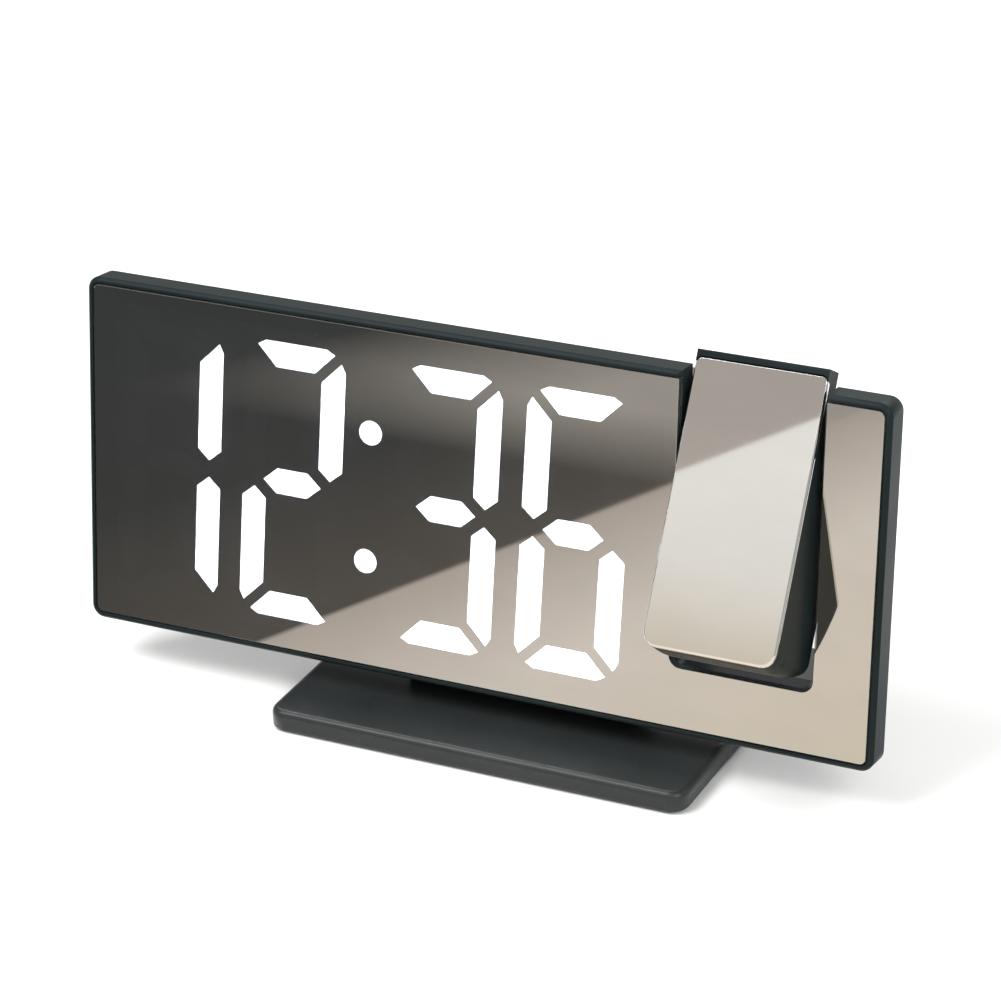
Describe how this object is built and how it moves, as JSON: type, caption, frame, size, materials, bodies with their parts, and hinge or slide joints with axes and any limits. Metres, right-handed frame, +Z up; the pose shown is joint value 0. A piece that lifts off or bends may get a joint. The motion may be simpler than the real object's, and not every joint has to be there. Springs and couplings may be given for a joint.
{
  "type": "projection alarm clock",
  "caption": "Mirror-faced digital alarm clock with large seven-segment digits, on a stand, with a swinging projector arm at its right side",
  "frame": {"origin": "middle of the stand's rubber pad, on the table", "axes": "+Z up, the clock's face looks towards -Y, +X to the right as the face is read"},
  "size_m": [0.19, 0.0566, 0.0937],
  "materials": {
    "black_plastic": "fine satin moulding grain",
    "rear_plastic": "satin, slightly lighter than the front",
    "button_plastic": "satin",
    "pad_rubber": "matt",
    "mirror_face": "half-silvered acrylic sheet",
    "lit_white": "diffusing, lit from behind",
    "dark_white": "diffusing, unlit",
    "circuit_board": "solder mask",
    "component_black": "plain",
    "diode_white": "plain",
    "capacitor_metal": "plain",
    "screw_steel": "zinc plated",
    "contact_metal": "plain",
    "washer_plastic": "natural acetal",
    "lens_glass": "polished"
  },
  "bodies": {
    "clock_body": {"base_plate": "black_plastic", "base_pad": "pad_rubber", "stand_neck": "black_plastic", "stand_screws": "screw_steel", "front_shell": "black_plastic", "mirror_panel": "mirror_face", "segment_block": "black_plastic", "lit_segments": "lit_white", "dark_segments": "dark_white", "display_board": "circuit_board", "display_diodes": "diode_white", "main_board": "circuit_board", "board_headers": "component_black", "board_chips": "component_black", "board_capacitors": "capacitor_metal", "tact_switches": "component_black", "snooze_board": "circuit_board", "snooze_switch": "component_black", "rear_shell": "rear_plastic", "case_screws": "screw_steel", "power_socket": "black_plastic", "power_pin": "capacitor_metal", "charge_socket": "capacitor_metal", "charge_tongue": "black_plastic", "buzzer": "component_black", "cell_contacts": "contact_metal", "backup_cell": "capacitor_metal", "battery_door": "black_plastic", "door_screw": "screw_steel", "pivot_pin_left": "screw_steel", "pivot_pin_right": "screw_steel", "friction_washer": "washer_plastic", "spacer_washer": "washer_plastic"},
    "projector_arm": {"arm_front_shell": "black_plastic", "arm_mirror": "mirror_face", "arm_rear_shell": "rear_plastic", "arm_screws": "screw_steel", "barrel_guide": "black_plastic", "slide_carrier": "black_plastic", "projected_slide": "lens_glass", "condenser_lens": "lens_glass", "lamp_board": "circuit_board", "projector_lamp": "diode_white"},
    "focus_wheel": {"focus_wheel": "black_plastic"},
    "lens_barrel": {"lens_barrel": "black_plastic", "projection_lens": "lens_glass"},
    "snooze_button": {"snooze_button": "button_plastic"},
    "mode_button": {"mode_button": "button_plastic"},
    "set_button": {"set_button": "button_plastic"},
    "down_button": {"down_button": "button_plastic"},
    "up_button": {"up_button": "button_plastic"},
    "projector_button": {"projector_button": "button_plastic"}
  },
  "joints": [
    {"name": "projector_arm_pivot", "type": "hinge", "parent": "clock_body", "child": "projector_arm", "pos_m": [0.05655, 0.00782, 0.07761], "axis": [-1, 0, 0], "range_deg": [-23, 157]},
    {"name": "focus_wheel_turn", "type": "hinge", "parent": "projector_arm", "child": "focus_wheel", "pos_m": [0.05655, 0.0058, 0.07006], "axis": [0, 0.5195, 0.8545], "range_deg": [-135, 135]},
    {"name": "lens_barrel_slide", "type": "slide", "parent": "projector_arm", "child": "lens_barrel", "axis": [0, 0.5195, 0.8545], "range_m": [-0.0015, 0.0015]},
    {"name": "snooze_press", "type": "slide", "parent": "clock_body", "child": "snooze_button", "axis": [0, -0.1444, -0.9895], "range_m": [0, 0.0005], "stiffness_N_per_m": 1500},
    {"name": "mode_press", "type": "slide", "parent": "clock_body", "child": "mode_button", "axis": [0, -0.9895, 0.1444], "range_m": [0, 0.0005], "stiffness_N_per_m": 1500},
    {"name": "set_press", "type": "slide", "parent": "clock_body", "child": "set_button", "axis": [0, -0.9895, 0.1444], "range_m": [0, 0.0005], "stiffness_N_per_m": 1500},
    {"name": "down_press", "type": "slide", "parent": "clock_body", "child": "down_button", "axis": [0, -0.9895, 0.1444], "range_m": [0, 0.0005], "stiffness_N_per_m": 1500},
    {"name": "up_press", "type": "slide", "parent": "clock_body", "child": "up_button", "axis": [0, -0.9895, 0.1444], "range_m": [0, 0.0005], "stiffness_N_per_m": 1500},
    {"name": "projector_press", "type": "slide", "parent": "clock_body", "child": "projector_button", "axis": [0, -0.9895, 0.1444], "range_m": [0, 0.0005], "stiffness_N_per_m": 1500}
  ],
  "couplings": [
    {"joint": "focus_wheel_turn", "follows": "lens_barrel_slide", "rad_per_m": 1570.8}
  ]
}
